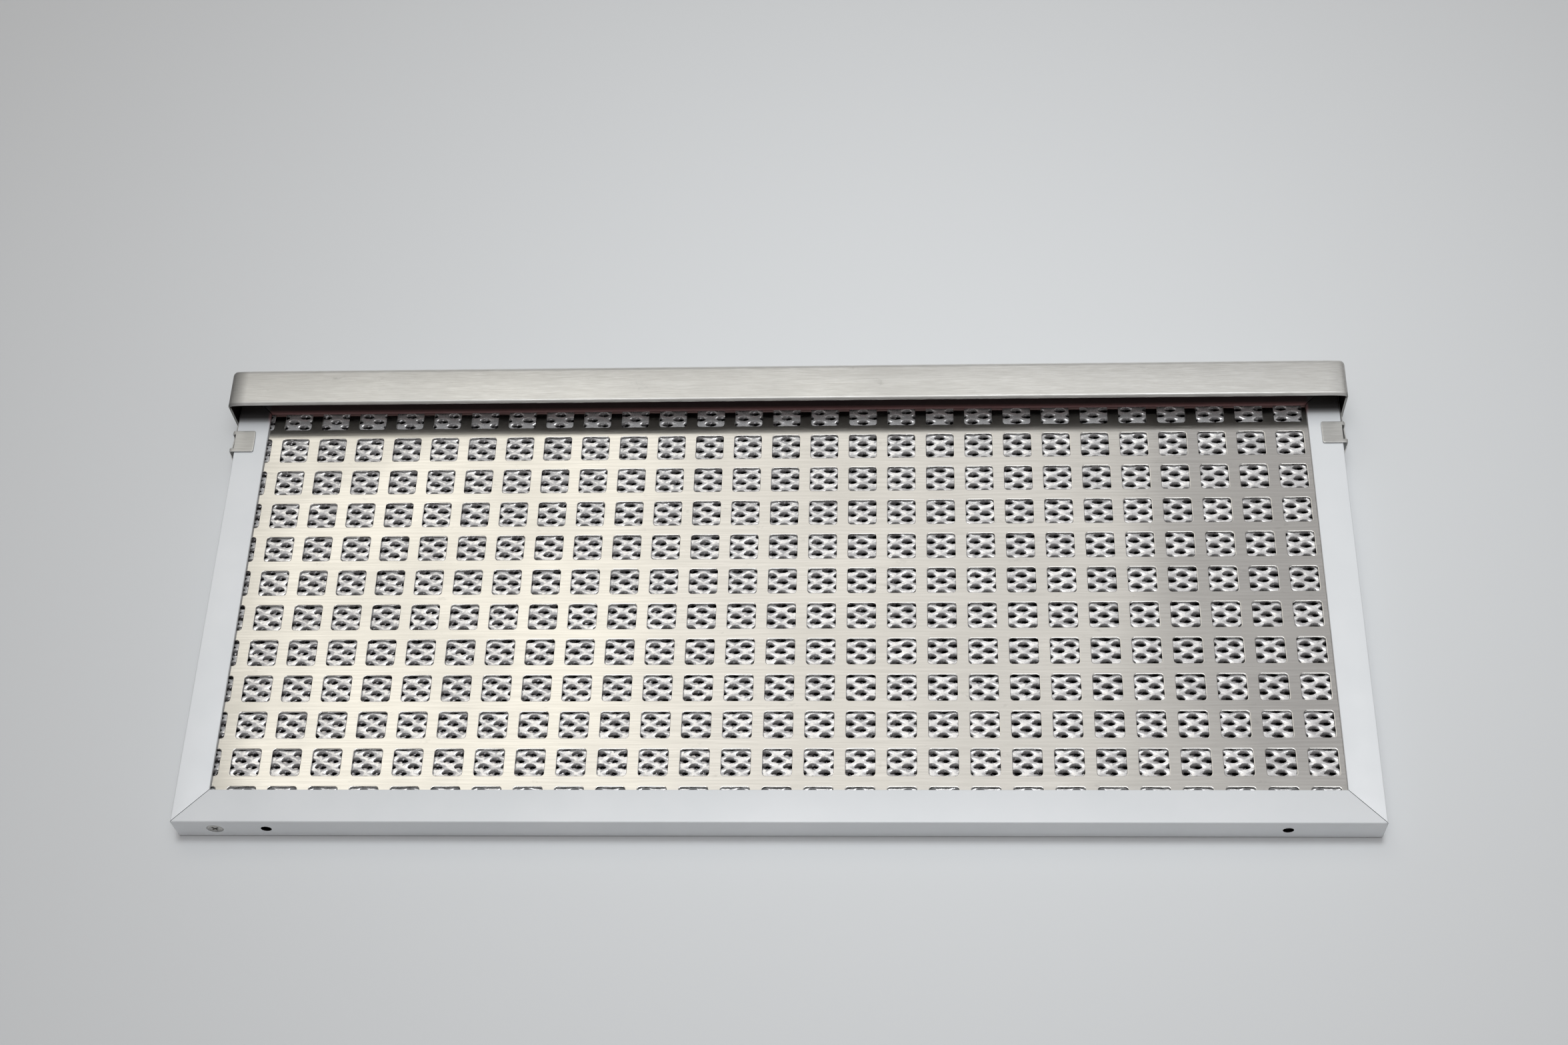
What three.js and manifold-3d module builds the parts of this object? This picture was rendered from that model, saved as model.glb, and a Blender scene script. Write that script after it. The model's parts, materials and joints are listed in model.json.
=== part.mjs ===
// A cooker-hood grease filter cassette: four mitred U-section rails hold a stack of expanded
// mesh between a square-hole face sheet and a back grid. A pressed grip bar runs along the
// rear edge, and a sprung catch on each side locks the cassette into the hood.
// Millimetres, +Z up. X runs along the grip bar, the front edge faces -Y, and the origin is
// at the bottom centre of the whole part.
import * as THREE from "three";
import { mergeGeometries, mergeVertices } from "three/addons/utils/BufferGeometryUtils.js";
import Module from "manifold-3d";

const wasm = await Module();
wasm.setup();

// ---------- driving dimensions ----------
const FRAME = { width: 405, depth: 176, height: 12, wall: 1.1, flange: 11.8, mitreGap: 0.2 };
const HOLES = { pitch: 14, side: 10, columns: 28, rows: 12, firstFromOuterFace: 8.4 };
const FACE = { thickness: 0.6, edgeGap: 0.6, flangeGap: 0.1 };
const BACK = { thickness: 0.8, pitch: 28, window: 22, columns: 13, rows: 5 };
const MESH = { layers: 6, thickness: 1, inset: 6.5 };
const KEY = { leg: 20, thickness: 1.2, height: 7.6, gap: 0.1 };
const BAR = { width: 408.4, height: 22.7, depth: 15.4, wall: 0.8, gap: 0.1, foot: 0.6,
  bend: 1.2, corner: 2.4, hemThickness: 2, hemReturn: 5 };
const LOCATING_HOLE = { radius: 1.85, fromSide: 31.6, depth: 3 };
const SCREW = { headRadius: 2.75, rim: 0.25, shankRadius: 1.5, sink: 1.5, length: 6, fromSide: 14,
  slotLength: 3.2, slotWidth: 0.7, slotDepth: 0.9, pointRadius: 0.96, clearance: 0.2 };
const RIVET = { headRadius: 2.4, sink: 0.8, shankRadius: 1.6, bulbRadius: 2.3, bulbLength: 2.4,
  clearance: 0.2, bulbGap: 0.15, holeDepth: 5, roomDepth: 8, barCount: 4, barPitch: 100 };
const CATCH = { thickness: 0.3, bottom: 2.9, top: 10.5, pivotFromRear: 7.55, rivetHole: 2.1,
  tab: 7.4, tabThickness: 0.5, tabLift: 0.3, tabFront: 58.7, tabRear: 67.6, leg: 1.4 };
// The line of a catch's leaf in plan: a distance along it, or [offset out from the rail, y].
const LEAF = { tailLength: 4, flatOffset: 0.4, mouthOffset: 0.62, shoulder: [1.5, 60.8],
  pull: [1.7, 58], nose: [-0.2, 55.6] };
const SLOT = { front: 54, rear: 59.6, bottom: 2.4, inside: 2 };
const ROUND_SEGMENTS = 20;
const LEG_OVERLAP = 0.05; // how far a leg's top stops short of its outer face, so that they join
const PAST = 1; // how far a cutter runs on past the face it opens

// ---------- places worked out from them ----------
const frontY = -(FRAME.depth + BAR.gap + BAR.wall) / 2;
const rearY = frontY + FRAME.depth;
const sideX = FRAME.width / 2;
const middleZ = FRAME.height / 2;
const faceTop = FRAME.height - FRAME.wall - FACE.flangeGap;
const faceBottom = faceTop - FACE.thickness;
const backBottom = FRAME.wall + FACE.flangeGap;
const backTop = backBottom + BACK.thickness;
const sheetEdge = FRAME.wall + FACE.edgeGap;
const barRear = rearY + BAR.gap + BAR.wall;
const barFront = barRear - BAR.depth;
const barSide = BAR.width / 2;
const pivotY = rearY - CATCH.pivotFromRear;

const paint = (colour, roughness, metalness) =>
  new THREE.MeshStandardMaterial({ color: colour, roughness, metalness });
const anodised = paint(0xd4d9dd, 0.45, 0.8);
const brushed = paint(0xb9b7b1, 0.35, 1);
const faceSteel = paint(0xc9c5bb, 0.3, 1);
const foil = paint(0xd9dadb, 0.3, 1);
const springSteel = paint(0xaeada9, 0.35, 1);
const fastener = paint(0x9b9c9e, 0.4, 1);

const part = new THREE.Group();

function addPiece(name, geometry, material) {
  const piece = new THREE.Mesh(geometry, material);
  piece.name = name;
  part.add(piece);
}

// ---------- solids ----------
function solidOf(geometry) {
  const bare = geometry.clone();
  bare.deleteAttribute("normal");
  bare.deleteAttribute("uv");
  const merged = mergeVertices(bare, 1e-4);
  return new wasm.Manifold(
    new wasm.Mesh({
      numProp: 3,
      vertProperties: merged.attributes.position.array,
      triVerts: new Uint32Array(merged.index.array),
    }),
  );
}

function geometryOf(solid) {
  const mesh = solid.getMesh();
  const geometry = new THREE.BufferGeometry();
  geometry.setAttribute("position", new THREE.BufferAttribute(mesh.vertProperties, 3));
  geometry.setIndex(new THREE.BufferAttribute(mesh.triVerts, 1));
  geometry.computeVertexNormals();
  return geometry;
}

function boxBetween(low, high) {
  const size = high.map((value, axis) => value - low[axis]);
  const centre = high.map((value, axis) => (value + low[axis]) / 2);
  return new THREE.BoxGeometry(...size).translate(...centre);
}

// The mirror image of a piece of the right-hand side.
function mirrored(geometry) {
  const image = geometry.clone().scale(-1, 1, 1);
  const corners = image.index.array;
  for (let i = 0; i < corners.length; i += 3) {
    [corners[i], corners[i + 1]] = [corners[i + 1], corners[i]];
  }
  image.computeVertexNormals();
  return image;
}

function addPair(name, geometry, material) {
  addPiece(`right_${name}`, geometry, material);
  addPiece(`left_${name}`, mirrored(geometry), material);
}

// A plan outline of [x, y] points, raised from one height to another.
function raised(outline, bottom, top) {
  const shape = new THREE.Shape(outline.map(([x, y]) => new THREE.Vector2(x, y)));
  const options = { depth: top - bottom, bevelEnabled: false };
  return new THREE.ExtrudeGeometry(shape, options).translate(0, 0, bottom);
}

// A side outline of [y, z] points, drawn out along X.
function drawnAlongX(outline, from, to) {
  const standing = raised(outline, 0, to - from);
  standing.rotateX(Math.PI / 2).rotateZ(Math.PI / 2);
  return standing.translate(from, 0, 0);
}

// A turned piece: [radius, distance] points along an axis that points in the given direction.
function turned(profile, start, direction) {
  const points = profile.map(([radius, along]) => new THREE.Vector2(radius, along));
  const lathe = new THREE.LatheGeometry(points, ROUND_SEGMENTS);
  const up = new THREE.Vector3(0, 1, 0);
  const turn = new THREE.Quaternion().setFromUnitVectors(up, new THREE.Vector3(...direction));
  return lathe.applyQuaternion(turn).translate(...start);
}

function arc(centreX, centreY, radius, fromDegrees, toDegrees, steps) {
  return Array.from({ length: steps + 1 }, (_, step) => {
    const angle = THREE.MathUtils.degToRad(fromDegrees + ((toDegrees - fromDegrees) * step) / steps);
    return [centreX + radius * Math.cos(angle), centreY + radius * Math.sin(angle)];
  });
}

// ---------- fasteners ----------
function screwProfile(grow) {
  return [
    [0, -grow],
    [SCREW.headRadius + grow, -grow],
    [SCREW.headRadius + grow, SCREW.rim],
    [SCREW.shankRadius + grow, SCREW.sink],
    [SCREW.shankRadius + grow, SCREW.length],
    [0, SCREW.length],
  ];
}

// A countersunk hole with clearance all round, straight through every wall behind it.
function rivetHole(start, direction) {
  const shank = RIVET.shankRadius + RIVET.clearance;
  const head = RIVET.headRadius + RIVET.clearance;
  const { sink, holeDepth } = RIVET;
  const profile = [
    [0, -PAST], [head, -PAST], [head, 0], [shank, sink], [shank, holeDepth], [0, holeDepth],
  ];
  return solidOf(turned(profile, start, direction));
}

// A blind rivet, flush outside, with its set end swollen behind the grip.
function rivetProfile(grip) {
  const bulbStart = grip + RIVET.bulbGap;
  return [
    [0, 0],
    [RIVET.headRadius, 0],
    [RIVET.shankRadius, RIVET.sink],
    [RIVET.shankRadius, bulbStart],
    [RIVET.bulbRadius, bulbStart + RIVET.bulbLength / 3],
    [RIVET.bulbRadius, bulbStart + RIVET.bulbLength * 0.7],
    [RIVET.shankRadius * 0.6, bulbStart + RIVET.bulbLength],
    [0, bulbStart + RIVET.bulbLength],
  ];
}

const screwX = -sideX + SCREW.fromSide;
const screwStart = [screwX, frontY, middleZ];
const catchRivetStart = [barSide, pivotY, middleZ];
const barRivetXs = Array.from(
  { length: RIVET.barCount },
  (_, i) => (i - (RIVET.barCount - 1) / 2) * RIVET.barPitch,
);

function addScrew() {
  const body = solidOf(turned(screwProfile(0), screwStart, [0, 1, 0]));
  const slot = (turn) =>
    solidOf(
      new THREE.BoxGeometry(SCREW.slotLength, 2 * SCREW.slotDepth, SCREW.slotWidth)
        .rotateY(turn)
        .translate(screwX, frontY, middleZ),
    );
  const { pointRadius, sink } = SCREW;
  const pointProfile = [[0, -PAST], [pointRadius, -PAST], [pointRadius, 0], [0, sink]];
  const point = solidOf(turned(pointProfile, screwStart, [0, 1, 0]));
  const recess = slot(0).add(slot(Math.PI / 2)).add(point);
  addPiece("corner_screw", geometryOf(body.subtract(recess)), fastener);
}

function addRivets() {
  const barGrip = BAR.wall + BAR.gap + FRAME.wall;
  barRivetXs.forEach((x, i) => {
    const start = [x, barRear, middleZ];
    addPiece(`bar_rivet_${i + 1}`, turned(rivetProfile(barGrip), start, [0, -1, 0]), fastener);
  });
  const catchGrip = barSide - sideX + FRAME.wall;
  addPair("catch_rivet", turned(rivetProfile(catchGrip), catchRivetStart, [-1, 0, 0]), fastener);
}

// ---------- frame ----------
// The U-section, web outwards, as [distance in from the outer face, height].
function railSection() {
  const { height, wall, flange } = FRAME;
  return [
    [0, 0], [flange, 0], [flange, wall], [wall, wall],
    [wall, height - wall], [flange, height - wall], [flange, height], [0, height],
  ];
}

// One rail along X, from -halfLength to halfLength, with its outer face at y = 0.
function straightRail(halfLength) {
  const bar = solidOf(drawnAlongX(railSection(), -halfLength, halfLength));
  const end = halfLength - FRAME.mitreGap / Math.SQRT2;
  const plan = [
    [-end, 0],
    [end, 0],
    [end - FRAME.flange, FRAME.flange],
    [-end + FRAME.flange, FRAME.flange],
  ];
  return bar.intersect(solidOf(raised(plan, -PAST, FRAME.height + PAST)));
}

function placed(solid, turnZ, x, y) {
  return solidOf(geometryOf(solid).rotateZ(turnZ).translate(x, y, 0));
}

function addRails() {
  const middleY = (frontY + rearY) / 2;
  let front = placed(straightRail(sideX), 0, 0, frontY);
  for (const side of [-1, 1]) {
    const x = side * (sideX - LOCATING_HOLE.fromSide);
    const { radius, depth } = LOCATING_HOLE;
    const hole = [[0, -PAST], [radius, -PAST], [radius, depth], [0, depth]];
    front = front.subtract(solidOf(turned(hole, [x, frontY, middleZ], [0, 1, 0])));
  }
  addPiece("front_rail", geometryOf(front.subtract(screwHole())), anodised);

  let rear = placed(straightRail(sideX), Math.PI, 0, rearY);
  for (const x of barRivetXs) rear = rear.subtract(rivetHole([x, barRear, middleZ], [0, -1, 0]));
  addPiece("rear_rail", geometryOf(rear), anodised);

  const right = placed(straightRail(FRAME.depth / 2), Math.PI / 2, sideX, middleY)
    .subtract(rivetHole(catchRivetStart, [-1, 0, 0]))
    .subtract(catchSlot());
  addPair("rail", geometryOf(right), anodised);
}

function screwHole() {
  return solidOf(turned(screwProfile(SCREW.clearance), screwStart, [0, 1, 0]));
}

// The window in a side rail's web that the catch's nose springs in and out of.
function catchSlot() {
  const low = [sideX - SLOT.inside, SLOT.front, SLOT.bottom];
  return solidOf(boxBetween(low, [sideX + PAST, SLOT.rear, FRAME.height - FRAME.wall]));
}

// Angle pieces pressed into the corners, against the webs and between the two sheets.
function addKeys() {
  const inset = FRAME.wall + KEY.gap;
  const bottom = middleZ - KEY.height / 2;
  const corners = [
    ["front_left", -1, -1], ["front_right", 1, -1], ["rear_left", -1, 1], ["rear_right", 1, 1],
  ];
  for (const [name, side, end] of corners) {
    const x = side * (sideX - inset);
    const y = end < 0 ? frontY + inset : rearY - inset;
    const { leg, thickness } = KEY;
    const plan = [
      [0, 0], [leg, 0], [leg, thickness], [thickness, thickness], [thickness, leg], [0, leg],
    ].map(([u, v]) => [x - side * u, y - end * v]);
    let key = solidOf(raised(plan, bottom, bottom + KEY.height));
    if (name === "front_left") key = key.subtract(screwHole());
    if (end > 0) key = key.subtract(setEndRoom([side * barSide, pivotY, middleZ], [-side, 0, 0]));
    addPiece(`corner_key_${name}`, geometryOf(key), foil);
  }
}

// Room through a rear corner key for the catch rivet's swollen end.
function setEndRoom(start, direction) {
  const radius = RIVET.bulbRadius + RIVET.clearance;
  const profile = [[0, 0], [radius, 0], [radius, RIVET.roomDepth], [0, RIVET.roomDepth]];
  return solidOf(turned(profile, start, direction));
}

// ---------- sheets and mesh ----------
// A flat sheet over the whole inside of the rails, with a grid of square holes.
function pierced(bottom, top, side, pitch, columns, rows, firstX, firstY) {
  const low = [-sideX + sheetEdge, frontY + sheetEdge, bottom];
  const high = [sideX - sheetEdge, rearY - sheetEdge, top];
  const cutters = [];
  for (let column = 0; column < columns; column++) {
    for (let row = 0; row < rows; row++) {
      const x = firstX + column * pitch;
      const y = firstY + row * pitch;
      const cutter = new THREE.BoxGeometry(side, side, top - bottom + 2 * PAST);
      cutters.push(cutter.translate(x, y, (top + bottom) / 2));
    }
  }
  const sheet = solidOf(boxBetween(low, high));
  return geometryOf(sheet.subtract(solidOf(mergeGeometries(cutters))));
}

function addSheets() {
  const firstX = -sideX + HOLES.firstFromOuterFace;
  const firstY = frontY + HOLES.firstFromOuterFace;
  const { side, pitch, columns, rows } = HOLES;
  const face = pierced(faceBottom, faceTop, side, pitch, columns, rows, firstX, firstY);
  addPiece("face_sheet", face, faceSteel);

  const gridX = (-(BACK.columns - 1) / 2) * BACK.pitch;
  const gridY = (frontY + rearY) / 2 - ((BACK.rows - 1) / 2) * BACK.pitch;
  const grid = pierced(
    backBottom, backTop, BACK.window, BACK.pitch, BACK.columns, BACK.rows, gridX, gridY,
  );
  addPiece("back_grid", grid, anodised);
}

// Each layer of expanded foil is a plain slab of its outer size here.
function addMeshLayers() {
  const step = (faceBottom - backTop) / MESH.layers;
  for (let layer = 0; layer < MESH.layers; layer++) {
    const middle = faceBottom - step * (layer + 0.5);
    const low = [-sideX + MESH.inset, frontY + MESH.inset, middle - MESH.thickness / 2];
    const high = [sideX - MESH.inset, rearY - MESH.inset, middle + MESH.thickness / 2];
    addPiece(`mesh_layer_${layer + 1}`, boxBetween(low, high), foil);
  }
}

// ---------- grip bar ----------
// The bar's block, shrunk on every closed side by an inset: its front and foot run on past.
function barBlock(inset, reach) {
  const side = barSide - inset;
  const top = BAR.height - inset;
  const rear = barRear - inset;
  const bend = BAR.bend - inset;
  const corner = BAR.corner - inset;
  const front = barFront - reach;
  const foot = BAR.foot - reach;
  const fromSide = [
    [front, foot], [rear, foot], ...arc(rear - bend, top - bend, bend, 0, 90, 3), [front, top],
  ];
  const fromAbove = [
    [-side, front], [side, front], ...arc(side - corner, rear - corner, corner, 0, 90, 4),
    ...arc(-side + corner, rear - corner, corner, 90, 180, 4),
  ];
  const fromFront = [
    [-side, foot], [side, foot], ...arc(side - bend, top - bend, bend, 0, 90, 3),
    ...arc(-side + bend, top - bend, bend, 90, 180, 3),
  ];
  const alongY = raised(fromFront, 0, rear - front).rotateX(Math.PI / 2).translate(0, rear, 0);
  return solidOf(drawnAlongX(fromSide, -side, side))
    .intersect(solidOf(raised(fromAbove, foot, top)))
    .intersect(solidOf(alongY));
}

// The nose is folded back under itself, so that no raw edge meets the fingers.
function noseHem() {
  const radius = BAR.hemThickness / 2;
  const top = BAR.height;
  const bottom = top - BAR.hemThickness;
  const end = barFront + radius + BAR.hemReturn;
  const outline = [
    ...arc(barFront + radius, top - radius, radius, 90, 270, 6),
    [end, bottom], [end, bottom + BAR.wall], [barFront + radius, bottom + BAR.wall],
    [barFront + radius, top - BAR.wall / 2], [end, top - BAR.wall / 2], [end, top],
  ];
  return drawnAlongX(outline, -barSide + BAR.wall / 2, barSide - BAR.wall / 2);
}

function addGripBar() {
  const noseRadius = BAR.hemThickness / 2;
  const shell = barBlock(0, 0).subtract(barBlock(BAR.wall, PAST));
  // The top sheet stops where the hem's round nose begins, between the end walls.
  const clearOfNose = boxBetween(
    [-barSide + BAR.wall / 2, barFront - PAST, BAR.height - BAR.hemThickness],
    [barSide - BAR.wall / 2, barFront + noseRadius, BAR.height + PAST],
  );
  let bar = shell.subtract(solidOf(clearOfNose)).add(solidOf(noseHem()));
  for (const x of barRivetXs) bar = bar.subtract(rivetHole([x, barRear, middleZ], [0, -1, 0]));
  for (const side of [-1, 1]) {
    bar = bar.subtract(rivetHole([side * barSide, pivotY, middleZ], [-side, 0, 0]));
  }
  addPiece("grip_bar", geometryOf(bar), brushed);
}

// ---------- catches ----------
// The leaf's centre line in plan, as [offset out from the rail, y], from its tail to its nose.
function leafLine() {
  const tail = new THREE.Vector2(LEAF.flatOffset, pivotY + LEAF.tailLength);
  const pivot = new THREE.Vector2(LEAF.flatOffset, pivotY);
  const mouth = new THREE.Vector2(LEAF.mouthOffset, barFront - CATCH.thickness);
  const [shoulder, pull, end] = [LEAF.shoulder, LEAF.pull, LEAF.nose].map(
    ([offset, y]) => new THREE.Vector2(offset, y),
  );
  const lead = new THREE.LineCurve(mouth, shoulder).getPoints(3);
  const nose = new THREE.QuadraticBezierCurve(shoulder, pull, end).getPoints(6);
  return [tail, pivot, ...lead, ...nose.slice(1)];
}

// A strip of even thickness about a centre line, in plan.
function strip(line, thickness) {
  const normals = line.map((point, i) => {
    const before = line[Math.max(i - 1, 0)];
    const after = line[Math.min(i + 1, line.length - 1)];
    const along = after.clone().sub(before).normalize();
    return new THREE.Vector2(-along.y, along.x).multiplyScalar(thickness / 2);
  });
  const one = line.map((point, i) => point.clone().add(normals[i]));
  const other = line.map((point, i) => point.clone().sub(normals[i]));
  return [...one, ...other.reverse()].map((point) => [point.x, point.y]);
}

// One bent strip: the leaf, two legs that fold over the rail, and the tab that joins them.
function addCatches() {
  const plan = strip(leafLine(), CATCH.thickness).map(([offset, y]) => [sideX + offset, y]);
  const tabBottom = FRAME.height + CATCH.tabLift;
  const tabTop = tabBottom + CATCH.tabThickness;
  const across = (inner, outer, front, rear, bottom, top) =>
    solidOf(boxBetween([sideX + inner, front, bottom], [sideX + outer, rear, top]));
  const tall = solidOf(raised(plan, CATCH.top - PAST, tabTop));
  let piece = solidOf(raised(plan, CATCH.bottom, CATCH.top));
  for (const front of [CATCH.tabFront, CATCH.tabRear - CATCH.leg]) {
    const rear = front + CATCH.leg;
    const post = tall.intersect(across(-PAST, 2 * LEAF.pull[0], front, rear, 0, tabTop));
    const outer = post.boundingBox().max[0] - sideX - LEG_OVERLAP;
    piece = piece.add(post).add(across(-PAST, outer, front, rear, tabBottom, tabTop));
  }
  piece = piece.add(across(-CATCH.tab, 0, CATCH.tabFront, CATCH.tabRear, tabBottom, tabTop));
  const { rivetHole: radius } = CATCH;
  const profile = [[0, -2 * PAST], [radius, -2 * PAST], [radius, 2 * PAST], [0, 2 * PAST]];
  const hole = turned(profile, [sideX + LEAF.flatOffset, pivotY, middleZ], [1, 0, 0]);
  addPair("catch", geometryOf(piece.subtract(solidOf(hole))), springSteel);
}

addRails();
addKeys();
addScrew();
addSheets();
addMeshLayers();
addGripBar();
addRivets();
addCatches();

export default part;
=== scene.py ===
# The looks of a cooker-hood grease filter cassette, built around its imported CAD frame.
# Metres, +Z up, in the frame's own place: the grip bar is at +Y and the front rail at -Y.
import json
import math

import bmesh
import bpy
import numpy as np
from mathutils import Euler, Matrix, Vector


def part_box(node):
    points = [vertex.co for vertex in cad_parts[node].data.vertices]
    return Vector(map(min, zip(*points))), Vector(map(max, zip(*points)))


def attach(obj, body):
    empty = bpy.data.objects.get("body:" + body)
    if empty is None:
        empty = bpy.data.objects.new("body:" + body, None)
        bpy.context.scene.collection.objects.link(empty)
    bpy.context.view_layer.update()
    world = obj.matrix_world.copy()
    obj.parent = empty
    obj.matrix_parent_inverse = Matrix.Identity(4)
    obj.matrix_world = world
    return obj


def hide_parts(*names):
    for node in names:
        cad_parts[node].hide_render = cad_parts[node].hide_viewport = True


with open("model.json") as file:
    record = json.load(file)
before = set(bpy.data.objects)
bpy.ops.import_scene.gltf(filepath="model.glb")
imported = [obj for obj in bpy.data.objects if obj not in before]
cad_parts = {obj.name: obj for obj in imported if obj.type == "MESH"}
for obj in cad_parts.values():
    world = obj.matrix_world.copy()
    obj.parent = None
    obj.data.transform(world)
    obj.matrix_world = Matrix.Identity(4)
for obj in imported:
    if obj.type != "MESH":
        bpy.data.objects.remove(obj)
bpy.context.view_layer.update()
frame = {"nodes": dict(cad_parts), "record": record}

MM = 0.001
scene = bpy.context.scene
scene.view_settings.view_transform = "Standard"

# ---------- places read from the frame ----------
front_low, front_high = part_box("front_rail")
bar_low, bar_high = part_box("grip_bar")
face_low, face_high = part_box("face_sheet")
back_low, back_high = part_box("back_grid")
FRONT_Y, REAR_Y = front_low[1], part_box("rear_rail")[1][1]
SIDE_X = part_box("right_rail")[1][0]
FRAME_TOP = front_high[2]
MIDDLE_Z = FRAME_TOP / 2
FRAME_Y = (FRONT_Y + REAR_Y) / 2
pivots = {joint["child"]: joint["pos_m"] for joint in frame["record"]["behaviour"]["joints"]}
PIVOT_Y = pivots["left_catch"][1]

# ---------- driving dimensions of the finer shapes ----------
WALL = 1.1 * MM
FLANGE = 11.8 * MM
MITRE_GAP = 0.24 * MM
RAIL_EDGE = 0.55 * MM
LIP_EDGE = 0.2 * MM

HOLE_PITCH = 14 * MM
HOLE_SIDE = 10 * MM
HOLE_CORNER = 1.15 * MM
HOLE_COLUMNS, HOLE_ROWS = 28, 12
FIRST_HOLE = 8.4 * MM
GRID_PITCH = 28 * MM
GRID_WINDOW = 22 * MM
GRID_CORNER = 2.5 * MM
GRID_COLUMNS, GRID_ROWS = 13, 5

MESH_LONG = 8 * MM
MESH_SHORT = 4.6 * MM
FOIL = 0.18 * MM
LAYERS = 6

BAR_WALL = 0.8 * MM
HEM = 2.0 * MM
HEM_RETURN = 5 * MM
SHOULDER = 1.5 * MM
CROWN = 0.55 * MM
CROWN_REACH = 6.5 * MM
REAR_CORNER = 2.2 * MM

LOCATING_HOLE = 1.85 * MM
LOCATING_FROM_SIDE = 31.6 * MM
SCREW_FROM_SIDE = 14 * MM
SCREW_HEAD, SCREW_SHANK, SCREW_ROOM = 2.75 * MM, 1.5 * MM, 0.12 * MM
HEAD_RIM, HEAD_DEPTH, SCREW_LENGTH = 0.2 * MM, 1.5 * MM, 6 * MM
SLOT_FRONT, SLOT_REAR, SLOT_BOTTOM = 54 * MM, 59.6 * MM, 2.4 * MM
BAR_RIVET_PITCH = 100 * MM
BAR_RIVETS = 4
RIVET_SHANK = 1.6 * MM

SPRING = 0.38 * MM
# The leaf's bends in plan, as (offset out from the rail, y) in millimetres.
LEAF_FLAT, LEAF_MOUTH, LEAF_TAIL = 0.4, 0.62, 4
LEAF_SHOULDER, LEAF_PULL, LEAF_NOSE = (1.5, 60.8), (1.7, 58.0), (-0.2, 55.6)
LEAF_STEPS = 12
# The two legs' front and rear ends, their width and bend, and how far the tab reaches inwards.
LEG_FRONT, LEG_REAR, LEG_WIDTH, LEG_BEND, TAB_REACH = 58.7, 67.6, 1.4, 0.55, 7.4
LEAF_TOP = 10.0
TAB_CORNER = 0.45


# ---------- material building blocks ----------
class Shader:
    """A node material with one Principled shader, and short ways to add nodes to it."""

    def __init__(self, name, metallic, roughness, **plain):
        self.material = bpy.data.materials.new(name)
        self.material.use_nodes = True
        self.nodes = self.material.node_tree.nodes
        self.links = self.material.node_tree.links
        self.principled = self.nodes["Principled BSDF"]
        self.principled.inputs["Metallic"].default_value = metallic
        self.principled.inputs["Roughness"].default_value = roughness
        for socket, value in plain.items():
            self.principled.inputs[socket.replace("_", " ")].default_value = value
        self.place = self.nodes.new("ShaderNodeTexCoord").outputs["Object"]

    def stretched(self, scale):
        node = self.nodes.new("ShaderNodeMapping")
        node.inputs["Scale"].default_value = scale
        self.links.new(self.place, node.inputs["Vector"])
        return node.outputs["Vector"]

    def along(self, axis):
        """How far along the object's X, Y or Z a point is, in metres."""
        node = self.nodes.new("ShaderNodeSeparateXYZ")
        self.links.new(self.place, node.inputs["Vector"])
        return node.outputs[axis]

    def product(self, first, second):
        node = self.nodes.new("ShaderNodeMath")
        node.operation = "MULTIPLY"
        self.links.new(first, node.inputs[0])
        self.links.new(second, node.inputs[1])
        return node.outputs[0]

    def noise(self, scale, detail=3, stretch=(1, 1, 1), rough=0.5):
        node = self.nodes.new("ShaderNodeTexNoise")
        node.inputs["Scale"].default_value = scale
        node.inputs["Detail"].default_value = detail
        node.inputs["Roughness"].default_value = rough
        self.links.new(self.stretched(stretch), node.inputs["Vector"])
        return node.outputs["Fac"]

    def ramp(self, value, low, high, out_low, out_high):
        node = self.nodes.new("ShaderNodeMapRange")
        node.inputs["From Min"].default_value = low
        node.inputs["From Max"].default_value = high
        node.inputs["To Min"].default_value = out_low
        node.inputs["To Max"].default_value = out_high
        self.links.new(value, node.inputs["Value"])
        return node.outputs["Result"]

    def mix(self, factor, first, second):
        node = self.nodes.new("ShaderNodeMix")
        node.data_type = "RGBA"
        self.put(factor, node.inputs["Factor"])
        self.put(first, node.inputs[6])
        self.put(second, node.inputs[7])
        return node.outputs[2]

    def put(self, value, socket):
        if isinstance(value, bpy.types.NodeSocket):
            self.links.new(value, socket)
        elif isinstance(value, tuple):
            socket.default_value = (*value, 1)
        else:
            socket.default_value = value

    def colour(self, value):
        self.put(value, self.principled.inputs["Base Color"])

    def roughness(self, value):
        self.put(value, self.principled.inputs["Roughness"])

    def bump(self, height, strength, distance):
        node = self.nodes.new("ShaderNodeBump")
        node.inputs["Strength"].default_value = strength
        node.inputs["Distance"].default_value = distance
        self.links.new(height, node.inputs["Height"])
        before = self.principled.inputs["Normal"].links
        if before:
            self.links.new(before[0].from_socket, node.inputs["Normal"])
        self.links.new(node.outputs["Normal"], self.principled.inputs["Normal"])


def anodised_aluminium():
    s = Shader("anodised_aluminium", 0.1, 0.5)
    cloud = s.noise(38, 4)
    unshaded_tone = s.mix(s.ramp(cloud, 0.35, 0.7, 0, 1), (0.80, 0.825, 0.845), (0.84, 0.86, 0.88))
    s.colour(painted_rail_shade(s, unshaded_tone))
    s.roughness(s.ramp(s.noise(120, 3), 0.3, 0.7, 0.38, 0.47))
    s.bump(s.noise(2600, 2), 0.12, 0.00004)
    return s.material


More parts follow.
